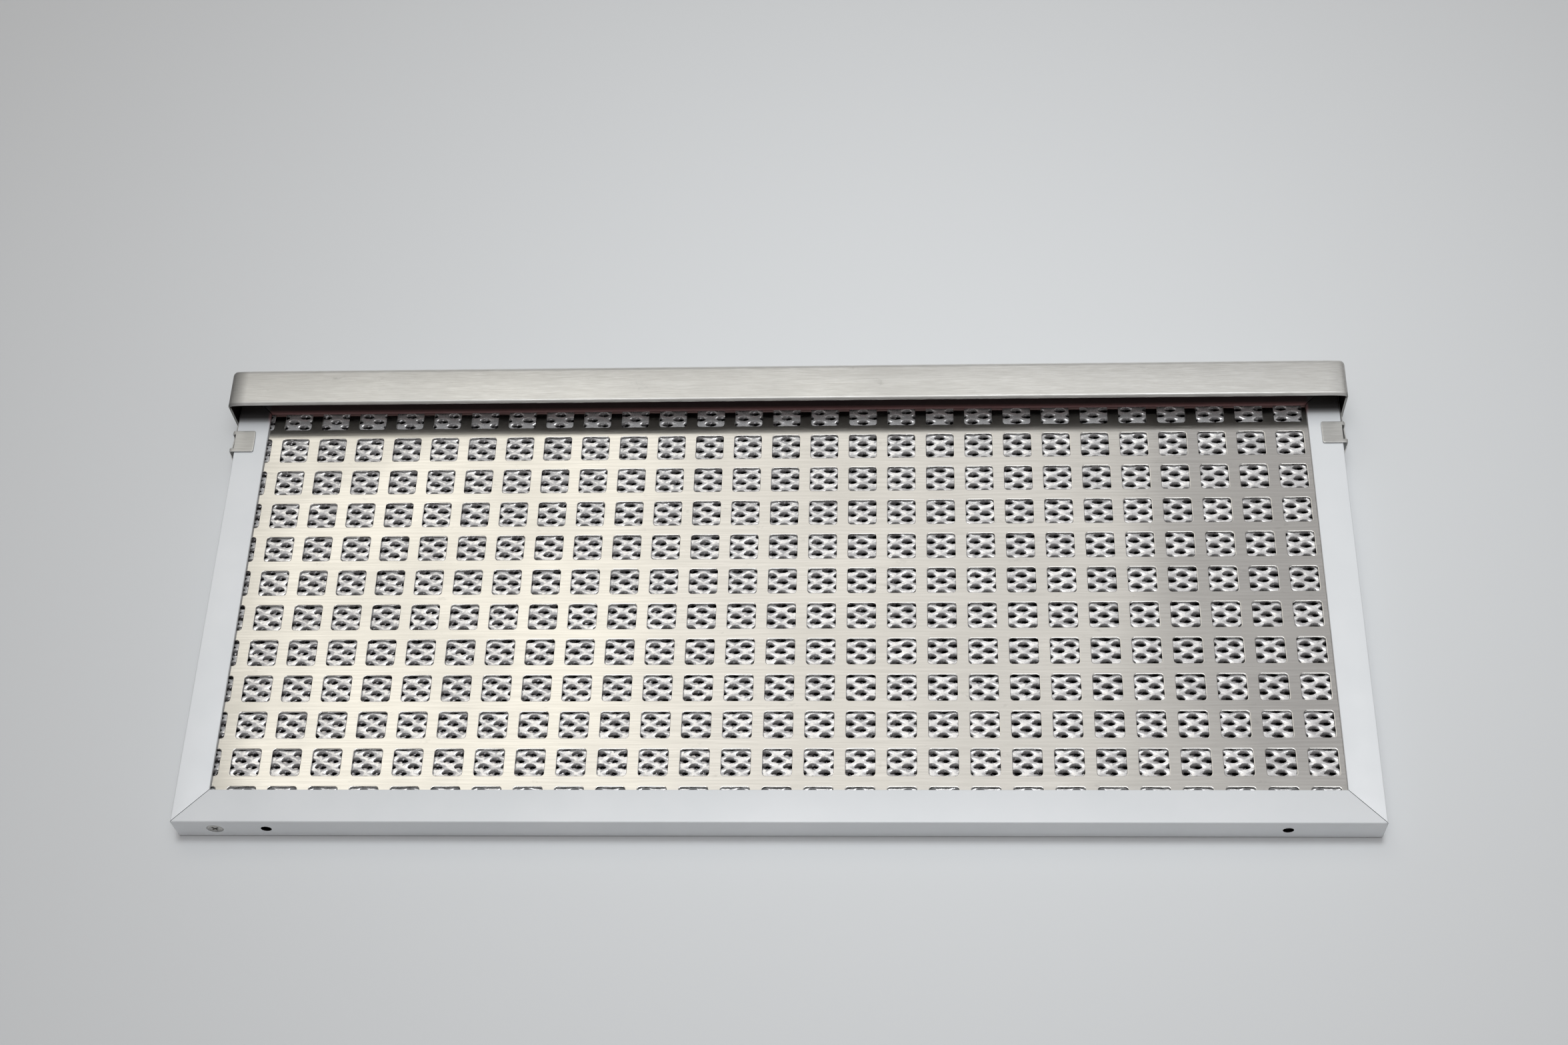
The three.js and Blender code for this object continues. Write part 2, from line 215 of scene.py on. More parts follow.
def painted_rail_shade(s, unshaded_tone):
    """Painted shade of the bar on the frame's top: a painted shadow fading in before it, deepest
    under it.

    It is near black on the side rails and brown on the rear one, paler along that rail's lip.
    """
    inner, lip, bar_front = SIDE_X - FLANGE, REAR_Y - FLANGE, bar_low[1]
    between_sides = s.product(s.ramp(s.along("X"), -inner - MM, -inner, 0, 1),
                              s.ramp(s.along("X"), inner, inner + MM, 1, 0))
    along_lip = s.ramp(s.along("Y"), lip + 0.3 * MM, lip + 1.3 * MM, 1, 0)
    brown = s.mix(along_lip, (0.04, 0.012, 0.013), (0.26, 0.11, 0.11))
    bar_shade_tone = s.mix(between_sides, (0.045, 0.04, 0.04), brown)
    # haze is a painted shadow that fades in before the bar; thick is the deeper painted shade
    # under it.
    shadow_fade = s.ramp(s.along("Y"), bar_front - 8 * MM, bar_front + 1 * MM, 0, 0.7)
    thick = s.ramp(s.along("Y"), bar_front - 1.5 * MM, bar_front + 1 * MM, 0, 0.9)
    on_top = s.ramp(s.along("Z"), FRAME_TOP - 2 * MM, FRAME_TOP - 1 * MM, 0, 1)
    shadow_faded = s.mix(s.product(s.product(shadow_fade, shadow_fade), on_top), unshaded_tone, bar_shade_tone)
    return s.mix(s.product(thick, on_top), shadow_faded, bar_shade_tone)


def mill_aluminium(name, deep, pale):
    s = Shader(name, 1.0, 0.38)
    streaks = s.noise(60, 4, (0.15, 1, 1))
    s.colour(s.mix(streaks, deep, pale))
    s.roughness(s.ramp(s.noise(200, 3, (0.1, 1, 1)), 0.3, 0.7, 0.3, 0.45))
    s.bump(streaks, 0.15, 0.0001)
    return s.material


def brushed_steel(name, metallic, pale, deep, rough, grain_scale, grain_length, relief,
                  waviness=0.0, shade_painter=None):
    """Stainless steel with a grain along X, cloudy patches, rubbed marks and gentle waves."""
    s = Shader(name, metallic, rough, Anisotropic=0.3)
    grain = s.noise(grain_scale, 3, (grain_length, 1, 1), 0.6)
    broad = s.noise(grain_scale / 4, 3, (grain_length * 2, 1, 1), 0.6)
    patches = s.noise(24, 4, (0.8, 1, 1))
    rubs = s.noise(210, 5, (0.6, 1, 1), 0.7)
    tone = s.mix(s.ramp(grain, 0.32, 0.68, 0, 1), deep, pale)
    tone = s.mix(s.ramp(broad, 0.45, 0.8, 0, 0.6), tone, deep)
    tone = s.mix(s.ramp(patches, 0.45, 0.7, 0, 0.5), tone, deep)
    tone = s.mix(s.ramp(rubs, 0.62, 0.8, 0, 0.5), tone, tuple(c * 0.6 for c in deep))
    # For the bar, this hook paints shade and dark reflection onto its ends and nose.
    if shade_painter:
        tone = shade_painter(s, tone, tuple(c * 0.22 for c in deep))
    s.colour(tone)
    s.roughness(s.ramp(patches, 0.3, 0.7, rough - 0.05, rough + 0.07))
    if waviness:
        s.bump(s.noise(13, 1, (1, 0.45, 1)), 1.0, waviness)
    s.bump(grain, relief, 0.00005)
    return s.material


def painted_bar_shade(s, tone, dark):
    """The bar's pressed ends, the left one most, get a painted dark reflection, and the lower
    front of its nose gets painted shade.
    """
    left = s.ramp(s.along("X"), bar_low[0] + 6.5 * MM, bar_low[0] + 0.5 * MM, 0, 0.85)
    right = s.ramp(s.along("X"), bar_high[0] - 2.5 * MM, bar_high[0], 0, 0.5)
    lower = s.ramp(s.along("Z"), bar_high[2] - 0.5 * MM, bar_high[2] - 2 * MM, 0, 0.4)
    front = s.ramp(s.along("Y"), bar_low[1] + 1.4 * MM, bar_low[1] + 1 * MM, 0, 1)
    for share in (left, right, s.product(lower, front)):
        tone = s.mix(share, tone, dark)
    return tone


def bright_foil(name, metallic, rough, deep, pale):
    s = Shader(name, metallic, rough)
    s.colour(s.mix(s.noise(300, 2), deep, pale))
    s.roughness(s.ramp(s.noise(800, 2), 0.3, 0.7, rough - 0.08, rough + 0.08))
    s.bump(s.noise(420, 2), 0.6, 0.00025)
    s.bump(s.noise(1500, 2), 0.25, 0.00008)
    return s.material


def plated_steel():
    s = Shader("plated_steel", 1.0, 0.3)
    s.colour(s.mix(s.noise(900, 3), (0.34, 0.33, 0.31), (0.58, 0.57, 0.55)))
    s.roughness(s.ramp(s.noise(1500, 2), 0.3, 0.7, 0.22, 0.42))
    s.bump(s.noise(2500, 2), 0.2, 0.00004)
    return s.material


def pale_floor():
    s = Shader("pale_floor", 0.0, 0.75)
    s.colour(s.mix(s.noise(2, 2), (0.72, 0.738, 0.75), (0.735, 0.75, 0.76)))
    return s.material


anodised = anodised_aluminium()
mill = mill_aluminium("mill_aluminium", (0.62, 0.63, 0.64), (0.75, 0.76, 0.77))
# Near-black aluminium for the locating holes' bores: painted shade inside the holes.
bore_shade = mill_aluminium("bore_shade", (0.03, 0.028, 0.03), (0.07, 0.065, 0.07))
bar_steel = brushed_steel(
    "bar_steel", metallic=0.55, pale=(0.83, 0.83, 0.805), deep=(0.665, 0.66, 0.63), rough=0.36,
    grain_scale=2400, grain_length=0.07, relief=0.4, shade_painter=painted_bar_shade)
# The inside of the bar is painted near black: painted shade in its hollow.
bar_inside_shade = brushed_steel(
    "bar_inside_shade", metallic=1.0, pale=(0.09, 0.07, 0.068), deep=(0.05, 0.036, 0.034), rough=0.42,
    grain_scale=900, grain_length=0.2, relief=0.2)
face_steel = brushed_steel(
    "face_steel", metallic=1.0, pale=(0.745, 0.735, 0.71), deep=(0.63, 0.62, 0.595), rough=0.15,
    grain_scale=1300, grain_length=0.03, relief=0.15, waviness=0.0004)
spring_steel = brushed_steel(
    "spring_steel", metallic=0.6, pale=(0.66, 0.66, 0.64), deep=(0.54, 0.54, 0.52), rough=0.36,
    grain_scale=2400, grain_length=0.07, relief=0.3)
# The top layer of mesh is bright; the second is painted darker with pale patches, and those below
# it darker still: painted shade for the layers deeper in the stack.
foil = bright_foil("bright_foil", 0.58, 0.25, (0.86, 0.85, 0.86), (0.96, 0.96, 0.96))
shaded_second_foil = bright_foil("shaded_second_foil", 0.95, 0.14, (0.12, 0.10, 0.11), (0.85, 0.85, 0.86))
shaded_inner_foil = bright_foil("shaded_inner_foil", 1.0, 0.16, (0.06, 0.055, 0.06), (0.2, 0.19, 0.2))
plated = plated_steel()


# ---------- mesh building blocks ----------
def piece_from(name, points, faces, material, sharp=32):
    """A new object from a list of points and faces, smooth apart from its sharper edges."""
    mesh = bpy.data.meshes.new(name)
    mesh.from_pydata([tuple(p) for p in points], [], faces)
    mesh.validate()
    mesh.materials.append(material)
    made = bpy.data.objects.new(name, mesh)
    scene.collection.objects.link(made)
    smooth(made, sharp)
    return made


def smooth(made, sharp=32):
    made.data.polygons.foreach_set("use_smooth", [True] * len(made.data.polygons))
    made.data.set_sharp_from_angle(angle=math.radians(sharp))


def settled(made):
    """The object with its modifiers applied to its mesh."""
    graph = bpy.context.evaluated_depsgraph_get()
    mesh = bpy.data.meshes.new_from_object(made.evaluated_get(graph))
    old = made.data
    made.modifiers.clear()
    made.data = mesh
    bpy.data.meshes.remove(old)
    return made


def combined(made, tools, operation="DIFFERENCE"):
    """Cuts tools from the object, or joins them to it, and deletes them."""
    for tool in tools:
        step = made.modifiers.new(tool.name, "BOOLEAN")
        step.object = tool
        step.operation = operation
        step.solver = "EXACT"
    settled(made)
    for tool in tools:
        bpy.data.objects.remove(tool)
    return made


def outward(made):
    shape = bmesh.new()
    shape.from_mesh(made.data)
    bmesh.ops.recalc_face_normals(shape, faces=shape.faces)
    shape.to_mesh(made.data)
    shape.free()
    return made


def loft(name, rings, material, closed_ring=True, caps=True, sharp=32):
    """Joins rings of equally many points, each a list of points, into one skin."""
    count = len(rings[0])
    points = [p for ring in rings for p in ring]
    last = count if closed_ring else count - 1
    faces = [
        (r * count + i, r * count + (i + 1) % count,
         (r + 1) * count + (i + 1) % count, (r + 1) * count + i)
        for r in range(len(rings) - 1)
        for i in range(last)
    ]
    if caps:
        faces.append(tuple(reversed(range(count))))
        faces.append(tuple(range((len(rings) - 1) * count, len(rings) * count)))
    return outward(piece_from(name, points, faces, material, sharp))


def turned(name, profile, start, direction, material, steps=48):
    """A lathe shape: (radius, distance) pairs along a direction from a start point."""
    along = Vector(direction).normalized()
    side = along.orthogonal().normalized()
    other = along.cross(side)
    rings = []
    for radius, distance in profile:
        centre = Vector(start) + along * distance
        rings.append([
            centre + radius * (math.cos(a) * side + math.sin(a) * other)
            for a in np.linspace(0, 2 * math.pi, steps, endpoint=False)
        ])
    return loft(name, rings, material)


def block(name, low, high, material):
    corners = [[(x, y, z) for x, y in
                ((low[0], low[1]), (high[0], low[1]), (high[0], high[1]), (low[0], high[1]))]
               for z in (low[2], high[2])]
    return loft(name, corners, material)


def arc(centre, radius, start, end, steps):
    return [
        (centre[0] + radius * math.cos(math.radians(a)),
         centre[1] + radius * math.sin(math.radians(a)))
        for a in np.linspace(start, end, steps + 1)
    ]


def stands_for(made, node, body="cassette"):
    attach(made, body)
    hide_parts(node)


# ---------- camera, floor and lights ----------
def add_camera():
    """The camera looks down on the cassette from in front and a little to the right."""
    data = bpy.data.cameras.new("camera")
    data.sensor_width = 36
    data.lens = 52.44
    camera = bpy.data.objects.new("camera", data)
    camera.location = (0.0496, -0.3877, 0.7128)
    turn = [math.radians(a) for a in (30.646, 3.066, 1.391)]
    camera.rotation_euler = Euler(turn, "XYZ")
    scene.collection.objects.link(camera)
    scene.camera = camera


def add_floor():
    size, height = 6, -0.2 * MM
    corners = [(-size, -size), (size, -size), (size, size), (-size, size)]
    points = [(x, y, height) for x, y in corners]
    floor = piece_from("floor", points, [(0, 1, 2, 3)], pale_floor())


def aimed(data, place, target):
    light = bpy.data.objects.new(data.name, data)
    light.location = place
    aim = Vector(target) - Vector(place)
    light.rotation_euler = aim.to_track_quat("-Z", "Y").to_euler()
    scene.collection.objects.link(light)
    return light


def add_soft_box(name, place, target, size, radiance, colour):
    """A soft box of the given brightness per square metre, whatever its size."""
    data = bpy.data.lights.new(name, "AREA")
    data.shape = "RECTANGLE"
    data.size, data.size_y = size
    data.energy = radiance * math.pi * size[0] * size[1]
    data.color = colour
    aimed(data, place, target)


def add_world():
    world = bpy.data.worlds.new("studio")
    world.use_nodes = True
    background = world.node_tree.nodes["Background"]
    background.inputs["Color"].default_value = (0.50, 0.47, 0.46, 1)
    background.inputs["Strength"].default_value = 0.42
    scene.world = world


def add_lights():
    """A round lamp overhead, a ceiling, and a row of soft boxes that the face sheet mirrors."""
    lamp = bpy.data.lights.new("overhead", "SPOT")
    lamp.energy = 96
    lamp.color = (0.95, 0.98, 1.0)
    lamp.shadow_soft_size = 0.3
    lamp.spot_size = math.radians(24)
    lamp.spot_blend = 1
    aimed(lamp, (0.1, 0.4, 2.2), (0.06, 0.05, 0)).visible_glossy = False
    add_soft_box("ceiling", (0.05, -0.1, 1.8), (0.05, -0.1, 0), (1.1, 0.8), 3.3,
                 (0.96, 0.98, 1.0))
    # Each panel's span in x and y, its brightness and its colour.
    height = 2
    panels = [("far_left", (-1.25, -0.89), (0.95, 1.85), 0.55, (1.0, 0.97, 0.88)),
              ("left", (-0.89, -0.3), (0.62, 1.6), 1.2, (1.0, 0.967, 0.865)),
              ("centre_left", (-0.3, 0.02), (0.5, 1.8), 0.92, (1.0, 0.975, 0.91)),
              ("centre", (0.02, 0.36), (0.35, 1.85), 0.77, (1.0, 0.985, 0.94)),
              ("right", (0.36, 1.1), (0.35, 1.85), 0.3, (0.98, 0.99, 1.0))]
    for name, xs, ys, radiance, colour in panels:
        x, y = sum(xs) / 2, sum(ys) / 2
        size = (xs[1] - xs[0], ys[1] - ys[0])
        add_soft_box(name, (x, y, height), (x, y, 0), size, radiance, colour)


# ---------- rails ----------
def rail_outline():
    """The rounded U-section, as (distance in from the outer face, height) pairs."""
    top, inner = FRAME_TOP, RAIL_EDGE * 0.4
    upper_lip = arc((FLANGE - LIP_EDGE, top - LIP_EDGE), LIP_EDGE, 90, 0, 3)
    outline = arc((RAIL_EDGE, top - RAIL_EDGE), RAIL_EDGE, 180, 90, 6)
    outline += upper_lip + [(FLANGE, top - WALL)]
    outline += arc((WALL + inner, top - WALL - inner), inner, 90, 180, 3)
    outline += arc((WALL + inner, WALL + inner), inner, 180, 270, 3)
    outline += [(FLANGE, WALL)] + arc((FLANGE - LIP_EDGE, LIP_EDGE), LIP_EDGE, 0, -90, 3)
    outline += arc((RAIL_EDGE, RAIL_EDGE), RAIL_EDGE, 270, 180, 6)
    return outline


def make_rail(name, half_length, turn, place):
    """A straight mitred rail along X with its outer face at -Y, turned into place."""
    stations = []
    for end in (-1, 1):
        for setback in (0.0, 0.25 * MM):
            cut = half_length - MITRE_GAP / math.sqrt(2)
            soften = 0.06 * MM if setback == 0.0 else 0
            ring = [(end * (cut - u - setback), u, z - math.copysign(soften, z - MIDDLE_Z))
                    for u, z in rail_outline()]
            stations.append(ring)
    stations[2], stations[3] = stations[3], stations[2]
    rail = loft(name, stations, anodised, sharp=40)
    rail.data.transform(Matrix.Translation(place) @ Matrix.Rotation(turn, 4, "Z"))
    return rail


def make_front_rail():
    """The front rail, with its two locating holes, their bores painted dark as shade, and the
    corner screw's countersink.
    """
    bore = [(LOCATING_HOLE, -2 * MM), (LOCATING_HOLE, -0.05 * MM), (LOCATING_HOLE, 3 * MM)]
    cutters = [
        turned("cut", bore, (side * (SIDE_X - LOCATING_FROM_SIDE), FRONT_Y, MIDDLE_Z), (0, 1, 0),
               anodised)
        for side in (-1, 1)
    ]
    cutters.append(turned("cut", screw_sink(), screw_start(), (0, 1, 0), anodised))
    rail = make_rail("front_rail_formed", SIDE_X, 0, (0, FRONT_Y, 0))
    combined(rail, cutters)
    # The bores of the locating holes get the near-black material: painted shade inside them.
    rail.data.materials.append(bore_shade)
    for polygon in rail.data.polygons:
        x, y, z = polygon.center
        from_axis = math.hypot(abs(x) - SIDE_X + LOCATING_FROM_SIDE, z - MIDDLE_Z)
        if from_axis < LOCATING_HOLE + 0.05 * MM and y > FRONT_Y + 0.1 * MM:
            polygon.material_index = 1
    return rail


def make_rear_rail():
    rail = make_rail("rear_rail_formed", SIDE_X, math.pi, (0, REAR_Y, 0))
    return combined(rail, [rivet_room((x, bar_high[1], MIDDLE_Z), (0, -1, 0))
                           for x in bar_rivet_xs()])


def make_side_rail(name, side):
    """A side rail, with the slot that takes the catch's nose and room for the catch's rivet."""
    rail = make_rail(f"{name}_rail_formed", (REAR_Y - FRONT_Y) / 2, side * math.pi / 2,
                     (side * SIDE_X, FRAME_Y, 0))
    xs = sorted((side * (SIDE_X - 2 * MM), side * (SIDE_X + MM)))
    slot = block("cut", (xs[0], SLOT_FRONT, SLOT_BOTTOM), (xs[1], SLOT_REAR, FRAME_TOP - WALL),
                 anodised)
    room = rivet_room((side * bar_high[0], PIVOT_Y, MIDDLE_Z), (-side, 0, 0))
    return combined(rail, [slot, room])


def make_rails():
    rails = {"front_rail": make_front_rail(), "rear_rail": make_rear_rail(),
             "left_rail": make_side_rail("left", -1), "right_rail": make_side_rail("right", 1)}
    for node, rail in rails.items():
        smooth(rail, 40)
        stands_for(rail, node)


# ---------- fasteners ----------
def bar_rivet_xs():
    return [(i - (BAR_RIVETS - 1) / 2) * BAR_RIVET_PITCH for i in range(BAR_RIVETS)]


def rivet_room(start, direction):
    profile = [(2.5 * MM, -1 * MM), (2.5 * MM, 0), (1.75 * MM, 0.75 * MM), (1.75 * MM, 5 * MM)]
    return turned("cut", profile, start, direction, anodised)


def rivet_profile(grip):
    """A blind rivet, flush outside: a shallow dimple where its stem broke off, and a set end."""
    bulb = grip + 0.15 * MM
    profile = [(0.35 * MM, 0.5 * MM), (0.7 * MM, 0.3 * MM), (0.8 * MM, 0.04 * MM), (0.95 * MM, 0),
               (2.3 * MM, 0), (2.38 * MM, 0.06 * MM), (RIVET_SHANK, 0.8 * MM),
               (RIVET_SHANK, bulb)]
    profile += [(RIVET_SHANK + 0.7 * MM * math.sin(math.pi * t), bulb + 2.3 * MM * t)
                for t in np.linspace(0.12, 0.88, 9)]
    return profile + [(1.3 * MM, bulb + 2.4 * MM), (0.4 * MM, bulb + 2.4 * MM)]


def make_rivets():
    bar_grip = bar_high[1] - REAR_Y + WALL
    for i, x in enumerate(bar_rivet_xs(), 1):
        name = f"bar_rivet_{i}"
        rivet = turned(f"{name}_set", rivet_profile(bar_grip), (x, bar_high[1], MIDDLE_Z),
                       (0, -1, 0), mill)
        stands_for(rivet, name)
    side_grip = bar_high[0] - SIDE_X + WALL
    for name, side in (("left", -1), ("right", 1)):
        rivet = turned(f"{name}_catch_rivet_set", rivet_profile(side_grip),
                       (side * bar_high[0], PIVOT_Y, MIDDLE_Z), (-side, 0, 0), mill)
        stands_for(rivet, f"{name}_catch_rivet")


def screw_start():
    return (-SIDE_X + SCREW_FROM_SIDE, FRONT_Y, MIDDLE_Z)


def screw_sink():
    """The profile that cuts the screw's countersink and hole, with a little room all round."""
    head, shank = SCREW_HEAD + SCREW_ROOM, SCREW_SHANK + SCREW_ROOM
    return [(head, -SCREW_ROOM - 0.5 * MM), (head, HEAD_RIM), (shank, HEAD_DEPTH),
            (shank, SCREW_LENGTH)]


def make_screw():
    """A countersunk M3 screw with a cross recess, its thread as a fine ripple on the shank."""
    profile = [(2.62 * MM, 0.0), (2.72 * MM, 0.05 * MM), (2.74 * MM, HEAD_RIM),
               (SCREW_SHANK, HEAD_DEPTH)]
    for depth in np.arange(1.6, 5.6, 0.25):
        profile.append((SCREW_SHANK if round(depth * 4) % 2 else 1.28 * MM, depth * MM))
    profile += [(1.2 * MM, 5.8 * MM), (0.9 * MM, SCREW_LENGTH)]
    screw = turned("corner_screw_turned", profile, screw_start(), (0, 1, 0), plated, 64)
    x, y, z = screw_start()
    tightened = 0.6
    cutters = []
    for turn in (tightened, tightened + math.pi / 2):
        across, up = math.cos(turn), math.sin(turn)
        rings = []
        # The recess's two arms narrow with depth: depth, half length and half width.
        for depth, reach, half in ((-0.3, 1.62, 0.36), (0.0, 1.55, 0.34), (1.3, 0.55, 0.24)):
            corners = ((-reach, -half), (reach, -half), (reach, half), (-reach, half))
            tilted = [(u * across - v * up, u * up + v * across) for u, v in corners]
            rings.append([(x + u * MM, y + depth * MM, z + v * MM) for u, v in tilted])
        cutters.append(loft("cut", rings, plated))
    combined(screw, cutters)
    smooth(screw, 30)
    stands_for(screw, "corner_screw")


# ---------- sheets ----------
def grid_sheet(name, low, high, first, pitch, side, corner, columns, rows, edge, material):
    """A flat sheet with a grid of round-cornered square holes whose upper edges are rolled over.

    Each hole's rim is joined to its square cell, whose own edge points its neighbours share.
    """
    half, steps = side / 2, 4
    rim = []
    for k, (sx, sy) in enumerate(((1, 1), (-1, 1), (-1, -1), (1, -1))):
        middle = (sx * (half - corner), sy * (half - corner))
        rim += arc(middle, corner, 90 * k, 90 * k + 90, steps)
    rim = np.array(rim)
    count = len(rim)
    # On the cell's edge, a rim point keeps its own x or y, and each arc's middle is the corner.
    cell = np.clip(rim, -(half - corner), half - corner)
    for i in range(count):
        at = i % (steps + 1)
        sign = np.sign(rim[i])
        if at == steps // 2:
            cell[i] = sign * pitch / 2
            continue
        # Points before the arc's middle lie on one side of the corner, the others on the next.
        first_side = at < steps // 2
        across = 0 if (i // (steps + 1)) % 2 == 0 else 1
        fixed = across if first_side else 1 - across
        share = abs(at - steps // 2) / (steps // 2)
        free = (half - corner) * share + (pitch / 2) * (1 - share)
        cell[i][fixed] = sign[fixed] * pitch / 2
        cell[i][1 - fixed] = sign[1 - fixed] * free
    top, bottom = high[2], low[2]
    # Each ring: plan points, height. The rim rolls over on top; below, its edge is sharp.
    outwards = np.sign(rim) * edge
    rings = [(cell, top), (rim + outwards * 1.8, top), (rim + outwards, top),
             (rim + outwards * 0.3, top - edge * 0.3), (rim, top - edge), (rim, bottom),
             (cell, bottom)]
    points, faces = [], []
    for column in range(columns):
        for row in range(rows):
            centre = np.array([first[0] + column * pitch, first[1] + row * pitch])
            base = len(points)
            for plan, height in rings:
                inside = np.clip(plan + centre, low[:2], high[:2])
                points += [(*p, height) for p in inside]
            for r in range(len(rings) - 1):
                for i in range(count):
                    j = (i + 1) % count
                    a, b = base + r * count, base + (r + 1) * count
                    faces.append((a + i, a + j, b + j, b + i))
    made = piece_from(name, points, faces, material)
    add_margins(made, low, high, first, pitch, columns, rows)
    return made


def add_margins(made, low, high, first, pitch, columns, rows):
    """Welds the cells, then draws each side that stops short out to the sheet's edge."""
    shape = bmesh.new()
    shape.from_mesh(made.data)
    bmesh.ops.remove_doubles(shape, verts=shape.verts, dist=1e-6)
    limits = [(first[0] - pitch / 2, low[0], 0), (first[0] + (columns - 0.5) * pitch, high[0], 0),
              (first[1] - pitch / 2, low[1], 1), (first[1] + (rows - 0.5) * pitch, high[1], 1)]
    for inner, outer, axis in limits:
        if abs(inner) >= abs(outer):
            continue
        rim = [e for e in shape.edges
               if e.is_boundary and all(abs(v.co[axis] - inner) < 1e-6 for v in e.verts)]
        for part in bmesh.ops.extrude_edge_only(shape, edges=rim)["geom"]:
            if isinstance(part, bmesh.types.BMVert):
                part.co[axis] = outer
    rim = [e for e in shape.edges if e.is_boundary]
    bmesh.ops.bridge_loops(shape, edges=rim)
    bmesh.ops.recalc_face_normals(shape, faces=shape.faces)
    shape.to_mesh(made.data)
    shape.free()
    smooth(made, 35)


def make_sheets():
    face = grid_sheet(
        "face_sheet_pierced", face_low, face_high, (-SIDE_X + FIRST_HOLE, FRONT_Y + FIRST_HOLE),
        HOLE_PITCH, HOLE_SIDE, HOLE_CORNER, HOLE_COLUMNS, HOLE_ROWS, 0.12 * MM, face_steel)
    stands_for(face, "face_sheet")
    first = (-(GRID_COLUMNS - 1) / 2 * GRID_PITCH, FRAME_Y - (GRID_ROWS - 1) / 2 * GRID_PITCH)
    back = grid_sheet(
        "back_grid_pierced", back_low, back_high, first,
        GRID_PITCH, GRID_WINDOW, GRID_CORNER, GRID_COLUMNS, GRID_ROWS, 0.15 * MM, mill)
    stands_for(back, "back_grid")


# ---------- expanded mesh ----------
# One opening of the mesh, in millimetres from its middle. The rear half of each ring has the
# crest of the strand behind the opening and the face that falls away from it; the front half
# has the low edge of the strand in front. Only the right-hand side is given: it is mirrored.
CELL_EDGE = [(4.0, 0.0, 0.16), (2.67, 0.767, 0.1), (1.33, 1.533, 0.2), (0.0, 2.3, 0.26)]
CREST = [(2.25, 0.04, -0.06), (1.8, 0.66, 0.16), (1.0, 1.14, 0.3), (0.0, 1.3, 0.36)]
FALL = [(2.05, -0.06, -0.24), (1.55, 0.24, -0.5), (0.85, 0.46, -0.64), (0.0, 0.52, -0.68)]
FRONT_LIP = [(1.8, -0.5, 0.0), (0.98, -0.92, 0.08), (0.0, -1.06, 0.1)]
FRONT_EDGE = [(1.66, -0.46, -0.16), (0.9, -0.83, -0.14), (0.0, -0.95, -0.12)]


def whole_ring(rear, front):
    """A closed ring from its right-hand points: rear first, then front, mirrored to the left."""
    left_rear = [(-x, y, z) for x, y, z in reversed(rear[:-1])]
    left_front = [(-x, y, z) for x, y, z in front]
    return rear + left_rear + left_front + [(x, y, z) for x, y, z in reversed(front[:-1])]


def cell_edge_ring():
    front = [(x, -y, z) for x, y, z in CELL_EDGE[1:]]
    return whole_ring(CELL_EDGE, front)


def mesh_layer(name, layer, low, high, fine):
    """A sheet of expanded foil that fills a CAD slab's outline, a little uneven all over."""
    rng = np.random.default_rng(40 + layer)
    rings = [cell_edge_ring(), whole_ring(CREST, FRONT_LIP)]
    if fine:
        rings.append(whole_ring(FALL, FRONT_EDGE))
    rings = np.array(rings) * MM
    if layer % 2:
        rings[:, :, 1] *= -1
    ring_count, count = rings.shape[:2]
    start = rng.uniform(-1, 0, 2) * (MESH_LONG, MESH_SHORT)
    width, depth = high[0] - low[0], high[1] - low[1]
    columns, rows = int(width / MESH_LONG) + 2, int(depth / MESH_SHORT * 2) + 3
    centres = [((i + 0.5 * (j % 2)) * MESH_LONG, j * MESH_SHORT / 2, 0)
               for i in range(columns) for j in range(rows)]
    # Only whole cells are kept, and their ends may pass the slab's edge by a little.
    reach = np.array([MESH_LONG / 2 - 1.5 * MM, MESH_SHORT / 2])
    centres = np.array([
        c for c in centres
        if all(reach[a] <= c[a] + start[a] <= (width, depth)[a] - reach[a] for a in (0, 1))
    ])
    points = (centres[:, None, None, :] + rings[None]).reshape(-1, 3)
    # Neighbouring cells share the points of their outer ring, which lie over 0.5 mm apart.
    keys = np.round(points[:, :2] / (0.1 * MM)).astype(np.int64)
    _, keep, index = np.unique(keys, axis=0, return_index=True, return_inverse=True)
    index = index.reshape(len(centres), ring_count, count)
    points = points[keep]
    points[:, :2] += np.array(low[:2]) + start
    following = np.roll(np.arange(count), -1)
    quads = np.concatenate([
        np.stack([index[:, r], index[:, r][:, following],
                  index[:, r + 1][:, following], index[:, r + 1]], -1).reshape(-1, 4)
        for r in range(ring_count - 1)
    ])
    x, y = points[:, 0] / MM, points[:, 1] / MM
    waves = 0.1 * np.sin(x / 11 + layer) * np.cos(y / 9 - layer)
    waves += 0.07 * np.sin(x / 4.1 + y / 5.3)
    points[:, 2] += (waves + rng.normal(0, 0.035, len(points))) * MM
    points[:, :2] += rng.normal(0, 0.03 * MM, (len(points), 2))
    points[:, 2] += (low[2] + high[2]) / 2
    mesh = bpy.data.meshes.new(name)
    mesh.vertices.add(len(points))
    mesh.vertices.foreach_set("co", points.ravel())
    mesh.loops.add(quads.size)
    mesh.loops.foreach_set("vertex_index", quads.ravel().astype(np.int32))
    mesh.polygons.add(len(quads))
    mesh.polygons.foreach_set("loop_start", np.arange(0, quads.size, 4, dtype=np.int32))
    mesh.update(calc_edges=True)
    mesh.validate()
    # Below the top layer the foil is painted darker: painted shade deeper in the stack.
    mesh.materials.append((foil, shaded_second_foil)[layer] if fine else shaded_inner_foil)
    made = bpy.data.objects.new(name, mesh)
    scene.collection.objects.link(made)
    smooth(made, 48)
    thick = made.modifiers.new("foil", "SOLIDIFY")
    thick.thickness = FOIL
    thick.offset = -1
    return made


